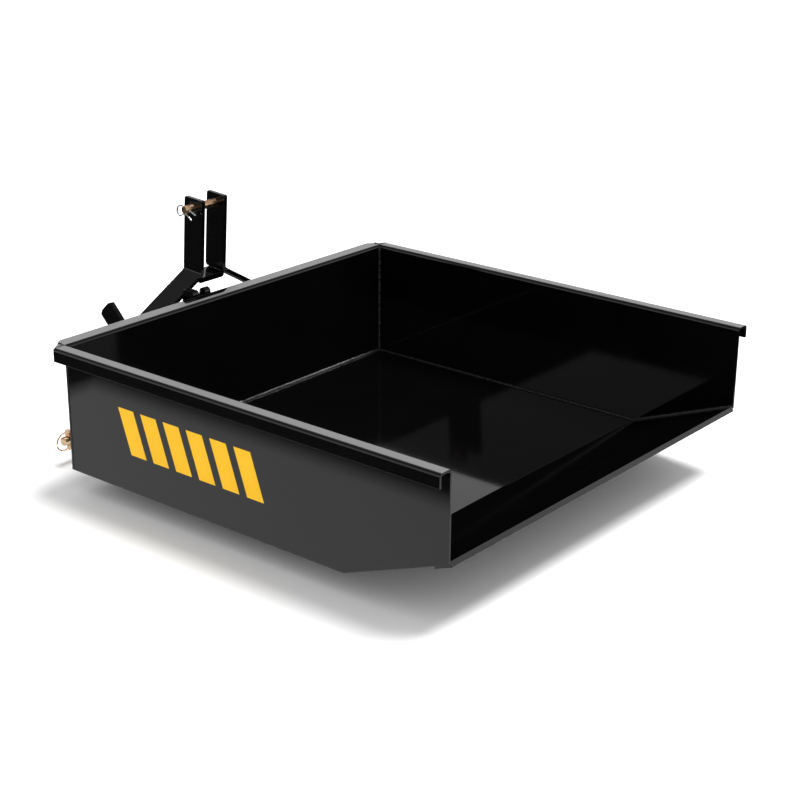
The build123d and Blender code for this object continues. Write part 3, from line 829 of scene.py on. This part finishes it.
    def build(self) -> None:
        """Dress the sheets and add the beads and bars."""
        self.finishes.dress(list(self.plain_nodes), self.finishes.powder)
        # the rim sheets get the painted sheen on their top faces
        self.finishes.dress(list(self.rim_nodes), self.finishes.rim_sheen_powder)
        self.finishes.dress(["pivot_shaft", "shaft_roll_pins"], self.finishes.bright)
        self.weld_sheets()
        self.lay_bars()


# ---- The hitch frame --------------------------------------------------------------------------
@dataclass
class HitchFrame:
    """Welded A-frame, its beads and the coil spring of the latch."""

    finishes: Finishes
    gun: WeldGun
    bead: float = 4.0 * MM
    light_bead: float = 3.0 * MM
    mast_height: float = 460 * MM
    lower_pin_y: float = 33 * MM
    bar_width: float = 57.15 * MM
    leg_lap: float = 66 * MM            # a leg's length beside its hitch plate
    foot_half: float = 24 * MM          # half of the bead under a leg's end
    corner_gap: float = 8 * MM          # from a tube's or rail's corner to the bead
    plate_end_gap: float = 5 * MM       # from the cross plate's end to its bead
    plate_bead_rise: float = 4 * MM     # the cross plate's slant under the bead
    gusset_foot_gap: float = 5 * MM
    gusset_top_gap: float = 3 * MM
    spring_wire: float = 3.4 * MM
    spring_tang: float = 14 * MM
    spring_pitch: float = 1.06          # in wire diameters
    spring_steps: int = 36              # per turn
    spring_columns: int = 12
    tang_steps: int = 10

    black_nodes: tuple[str, ...] = (
        "lower_cross_tube", "frame_rail_left", "frame_rail_right", "pivot_pipe", "mast_bar_left",
        "mast_bar_right", "mast_cross_plate", "hitch_plate_left", "hitch_plate_right",
        "frame_gusset_left", "frame_gusset_right", "bearing_inner", "bearing_outer", "rim_guide",
    )
    yellow_nodes: tuple[str, ...] = (
        "lower_pin_left", "lower_pin_right", "lower_pin_nut_left", "lower_pin_nut_right",
    )

    def __post_init__(self) -> None:
        """Read the top link pin's height and work out the mast's lean."""
        low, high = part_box("top_link_pin")
        self.pin_z = (low.z + high.z) / 2
        self.lean = math.atan2(self.lower_pin_y, self.mast_height)

    def mast_point(self, x: float, drop: float, ahead: float) -> Point:
        """A point on the leaning mast.

        Args:
            x: distance across the machine.
            drop: distance down the mast from the top link pin.
            ahead: distance in front of the mast's middle.

        Returns:
            The point.
        """
        y = drop * math.sin(self.lean) + ahead * math.cos(self.lean)
        z = self.pin_z - drop * math.cos(self.lean) + ahead * math.sin(self.lean)
        return (x, y, z)

    def weld_mast(self) -> None:
        """Beads between mast legs and hitch plates, and at the cross plate's ends."""
        for label, side in (("left", -1.0), ("right", 1.0)):
            plate_low, plate_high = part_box(f"hitch_plate_{label}")
            plate_x = plate_high.x if side < 0 else plate_low.x
            top_drop = (self.pin_z - plate_high.z) / math.cos(self.lean)
            foot_drop = top_drop + self.leg_lap
            for edge, ahead in (("front", self.bar_width / 2), ("rear", -self.bar_width / 2)):
                ends = [self.mast_point(plate_x, top_drop, ahead), self.mast_point(plate_x, foot_drop, ahead)]
                self.gun.seam(f"leg_bead_{edge}_{label}", ends, (-side, 0, 0), self.bead, Body.HITCH)
            foot = [self.mast_point(plate_x, foot_drop, ahead) for ahead in (-self.foot_half, self.foot_half)]
            self.gun.seam(f"leg_bead_foot_{label}", foot, (-side, 0, 0), self.bead, Body.HITCH)
            self.weld_plate(label, side, plate_x)
        low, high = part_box("mast_cross_plate")
        for label, side in (("left", -1.0), ("right", 1.0)):
            x = side * high.x
            foot = (x, low.y + self.plate_end_gap, high.z - self.plate_bead_rise)
            ends = [foot, (x, high.y - self.plate_end_gap, high.z)]
            self.gun.seam(f"cross_plate_bead_{label}", ends, (0, 0, 1), self.light_bead, Body.HITCH)

    def weld_plate(self, label: str, side: float, plate_x: float) -> None:
        """Beads between one hitch plate, the cross tube and its gusset.

        Args:
            label: left or right.
            side: -1 for left and 1 for right.
            plate_x: the plate's inner face.
        """
        tube_low, tube_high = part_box("lower_cross_tube")
        gap = self.corner_gap
        top_line = [(plate_x, tube_low.y + gap, tube_high.z), (plate_x, tube_high.y - gap, tube_high.z)]
        self.gun.seam(f"tube_bead_top_{label}", top_line, (-side, 0, 0), self.bead, Body.HITCH)
        front_line = [(plate_x, tube_high.y, gap), (plate_x, tube_high.y, tube_high.z - gap)]
        self.gun.seam(f"tube_bead_front_{label}", front_line, (-side, 0, 0), self.bead, Body.HITCH)
        low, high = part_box(f"frame_gusset_{label}")
        foot = (plate_x, high.y, low.z + self.gusset_foot_gap)
        upright = [foot, (plate_x, high.y, high.z - self.gusset_top_gap)]
        self.gun.seam(f"gusset_bead_upright_{label}", upright, (-side, 0, 0), self.light_bead, Body.HITCH)

    def weld_rails(self) -> None:
        """Upright beads where the rails meet the cross tube."""
        for label in ("left", "right"):
            low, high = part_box(f"frame_rail_{label}")
            for name, x in (("outer", low.x), ("inner", high.x)):
                ends = [(x, high.y, low.z + self.corner_gap), (x, high.y, high.z - self.corner_gap)]
                face = -1 if name == "outer" else 1
                self.gun.seam(f"rail_bead_{name}_{label}", ends, (face, 0, 0), self.bead, Body.HITCH)

    def wind_spring(self) -> None:
        """Coil of round wire with a straight tang at each end.

        path(t) = centre + R (0, cos 2 pi t, sin 2 pi t) + (x(t), 0, 0), with x(t) rising evenly
        along the shaft. Each tang leaves along the coil's own direction.
        """
        low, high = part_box("torsion_spring")
        wire = self.spring_wire / 2
        radius = (high.y - low.y) / 2 - wire
        centre = np.array([0, (low.y + high.y) / 2, (low.z + high.z) / 2])
        span = high.x - low.x - 2 * wire
        turns = math.floor(span / (self.spring_wire * self.spring_pitch)) + 0.5
        t = np.linspace(0, turns, round(turns * self.spring_steps))
        radial = np.stack([np.zeros_like(t), np.cos(2 * math.pi * t), np.sin(2 * math.pi * t)], axis=-1)
        coil = centre + radius * radial
        coil[:, 0] = low.x + wire + span * t / turns
        tang = self.tang_steps
        steps = np.linspace(self.spring_tang, 1 * MM, tang)[:, None]
        lead_in = (coil[0] - coil[1]) / np.linalg.norm(coil[0] - coil[1])
        lead_out = (coil[-1] - coil[-2]) / np.linalg.norm(coil[-1] - coil[-2])
        path = np.vstack([coil[0] + steps * lead_in, coil, coil[-1] + steps[::-1] * lead_out])
        normals = np.vstack([np.repeat(radial[:1], tang, 0), radial, np.repeat(radial[-1:], tang, 0)])
        radii = np.full((len(path), self.spring_columns), wire)
        spring = swept_tube("spring_coil", path, normals, radii, self.finishes.bright)
        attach(spring, Body.HITCH.value)
        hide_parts("torsion_spring")
        log.info("wound spring_coil, %.1f turns", turns)

    def build(self) -> None:
        """Dress the frame and add its beads and spring."""
        self.finishes.dress(list(self.black_nodes), self.finishes.powder)
        self.finishes.dress(list(self.yellow_nodes), self.finishes.yellow)
        self.weld_mast()
        self.weld_rails()
        self.wind_spring()


# ---- The latch and the loose pins -------------------------------------------------------------
@dataclass
class TripLatch:
    """Rockshaft with its hook and lever welded on."""

    finishes: Finishes
    gun: WeldGun
    bead: float = 2.4 * MM

    def build(self) -> None:
        """Dress the latch and lay a ring of weld on each side of the hook and the lever."""
        self.finishes.dress(["latch_hook", "trip_lever", "rockshaft"], self.finishes.powder)
        self.finishes.dress(["rockshaft_collars"], self.finishes.bright)
        shaft_low, shaft_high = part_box("rockshaft")
        middle_y, middle_z = (shaft_low.y + shaft_high.y) / 2, (shaft_low.z + shaft_high.z) / 2
        radius = (shaft_high.z - shaft_low.z) / 2
        for node in ("latch_hook", "trip_lever"):
            low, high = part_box(node)
            for end, x in (("left", low.x), ("right", high.x)):
                if shaft_low.x + self.bead < x < shaft_high.x - self.bead:
                    self.gun.ring(f"{node}_bead_{end}", (x, middle_y, middle_z), radius, self.bead, Body.TRIP)


@dataclass
class LoosePins:
    """Top link pin, its clip, the linchpins and their rings."""

    finishes: Finishes

    def build(self) -> None:
        """Dress the plated pins."""
        plated = ["top_link_pin"]
        plated += [f"{kind}_{side}" for kind in ("linchpin", "linchpin_ring") for side in ("left", "right")]
        self.finishes.dress(plated, self.finishes.yellow)
        self.finishes.dress(["hairpin_clip"], self.finishes.bright)


# ---- Studio -----------------------------------------------------------------------------------
@dataclass
class Studio:
    """Pale floor with a painted reflection, white surround, one soft light and the camera.

    The camera stands at the distance from the target, turned by the azimuth and raised by the
    elevation, all in degrees.
    """

    azimuth: float = -50.68
    elevation: float = 20.81
    roll: float = 0.37
    distance: float = 3.7357
    target: Point = (0.0, -0.5763, 0.1815)
    lens_widths: float = 2.1683         # focal length over the picture's width
    sensor: float = 36.0
    camera_reach: float = 200.0
    floor_half: float = 60.0
    floor_colour: Point = (0.92, 0.92, 0.92)
    # colours of the floor's painted reflection, an emission that only glossy rays see; the dark one stands in
    # for dark cards that are not in the scene
    floor_painted_reflection: Point = (0.68, 0.68, 0.69)
    dark_painted_reflection: Point = (0.035, 0.035, 0.035)
    painted_reflection_strength: float = 1.3
    footprint_half: float = 0.508
    footprint_y: float = -0.598
    dark_reflection_start: float = 0.43            # from the footprint to where the painted dark reflection begins
    dark_reflection_end: float = 0.52
    surround_seen: float = 1.05
    surround_light: float = 0.90
    horizon_gloss: float = 1.0
    zenith_gloss: float = 0.03
    gloss_start: float = 0.30           # height at which the gloss starts to fall
    gloss_end: float = 0.62
    gloss_left: float = 0.2             # share of it that is left above gloss_end
    key_strength: float = 3.6
    key_spread: float = 24.0            # degrees that the softened key light fills
    key_place: Point = (0.75, -1.15, 3.2)

    def lay_floor(self) -> None:
        """Large pale floor that glows with a painted reflection where glossy rays meet it.

        In a reflection it is pale within the start distance of the footprint and painted dark beyond the end
        distance, in place of dark cards that are not in the scene, by the distance max(|x|, |y - footprint_y|)
        - footprint_half.
        """
        half = self.floor_half
        corners = np.array([(-half, -half, 0), (half, -half, 0), (half, half, 0), (-half, half, 0)])
        material, recipe = new_recipe("pale_floor_with_painted_reflection")
        seen = recipe.add("ShaderNodeBsdfDiffuse", {}, {"Color": (*self.floor_colour, 1.0)})
        values = {0: recipe.place(), 1: (0, self.footprint_y, 0)}
        centred = recipe.add("ShaderNodeVectorMath", {"operation": "SUBTRACT"}, values)
        folded = recipe.add("ShaderNodeVectorMath", {"operation": "ABSOLUTE"}, {0: centred.outputs[0]})
        parts = recipe.add("ShaderNodeSeparateXYZ", {}, {0: folded.outputs[0]})
        values = {0: parts.outputs["X"], 1: parts.outputs["Y"]}
        furthest = recipe.add("ShaderNodeMath", {"operation": "MAXIMUM"}, values)
        outside = Channel(recipe, furthest.outputs[0]) - self.footprint_half
        # painted reflection: pale near the box, painted dark further out
        stops = [(self.dark_reflection_start, self.floor_painted_reflection), (self.dark_reflection_end, self.dark_painted_reflection)]
        fade = recipe.ramp(outside, stops)
        glossy_painted_reflection = recipe.add("ShaderNodeEmission", {}, {"Color": fade, "Strength": self.painted_reflection_strength})
        path = recipe.add("ShaderNodeLightPath", {}, {})
        values = {0: path.outputs["Is Glossy Ray"], 1: seen.outputs[0], 2: glossy_painted_reflection.outputs[0]}
        mixed = recipe.add("ShaderNodeMixShader", {}, values)
        recipe.add("ShaderNodeOutputMaterial", {}, {"Surface": mixed.outputs[0]})
        mesh = bpy.data.meshes.new("studio_floor")
        mesh.from_pydata(corners.tolist(), [], [(0, 1, 2, 3)])
        mesh.materials.append(material)
        ground = bpy.data.objects.new("studio_floor", mesh)
        bpy.context.scene.collection.objects.link(ground)

    def light(self) -> None:
        """White surround, brighter near the horizon in reflections, and one softened key light."""
        world = bpy.data.worlds.new("studio")
        bpy.context.scene.world = world
        world.use_nodes = True
        recipe = Recipe(world.node_tree)
        coordinates = recipe.add("ShaderNodeTexCoord", {}, {})
        parts = recipe.add("ShaderNodeSeparateXYZ", {}, {0: coordinates.outputs["Generated"]})
        height = Channel(recipe, parts.outputs["Z"])
        stops = [(self.gloss_start, (1, 1, 1)), (self.gloss_end, (self.gloss_left,) * 3)]
        grey = recipe.ramp(height, stops)
        gloss = Channel(recipe, grey) * (self.horizon_gloss - self.zenith_gloss) + self.zenith_gloss
        path = recipe.add("ShaderNodeLightPath", {}, {})
        camera_ray = Channel(recipe, path.outputs["Is Camera Ray"])
        glossy_ray = Channel(recipe, path.outputs["Is Glossy Ray"])
        others = 1 - camera_ray - glossy_ray
        strength = camera_ray * self.surround_seen + glossy_ray * gloss + others * self.surround_light
        background = recipe.add("ShaderNodeBackground", {}, {"Color": (1, 1, 1, 1), "Strength": strength})
        recipe.add("ShaderNodeOutputWorld", {}, {"Surface": background.outputs[0]})
        lamp = bpy.data.lights.new("key_light", "SUN")
        lamp.energy = self.key_strength
        lamp.angle = math.radians(self.key_spread)
        holder = bpy.data.objects.new("key_light", lamp)
        holder.location = self.key_place
        aim = Vector(self.target) - Vector(self.key_place)
        holder.rotation_euler = aim.to_track_quat("-Z", "Y").to_euler()
        bpy.context.scene.collection.objects.link(holder)

    def set_camera(self) -> None:
        """Camera aimed from its azimuth, elevation and roll at the target."""
        az, el, roll = (math.radians(a) for a in (self.azimuth, self.elevation, self.roll))
        back = Vector((math.sin(az) * math.cos(el), -math.cos(az) * math.cos(el), math.sin(el)))
        level = Vector((math.cos(az), math.sin(az), 0))
        up = back.cross(level)
        right = level * math.cos(roll) + up * math.sin(roll)
        upright = up * math.cos(roll) - level * math.sin(roll)
        place = Matrix((right, upright, back)).transposed().to_4x4()
        place.translation = Vector(self.target) + back * self.distance
        data = bpy.data.cameras.new("studio_camera")
        data.sensor_width = self.sensor
        data.lens = self.lens_widths * self.sensor
        data.clip_end = self.camera_reach
        camera = bpy.data.objects.new("studio_camera", data)
        camera.matrix_world = place
        bpy.context.scene.collection.objects.link(camera)
        bpy.context.scene.camera = camera
        bpy.context.scene.view_settings.view_transform = "Standard"

    def build(self) -> None:
        """Set up floor, light and camera."""
        self.lay_floor()
        self.light()
        self.set_camera()


def main() -> None:
    logging.basicConfig(level=logging.INFO, format="%(message)s")
    finishes = Finishes()
    gun = WeldGun(finishes.weld)
    assemblies = (
        Studio(),
        LoadBox(finishes, gun),
        HitchFrame(finishes, gun),
        TripLatch(finishes, gun),
        LoosePins(finishes),
    )
    for assembly in assemblies:
        log.info("building %s", type(assembly).__name__)
        assembly.build()


if __name__ == "__main__":
    main()
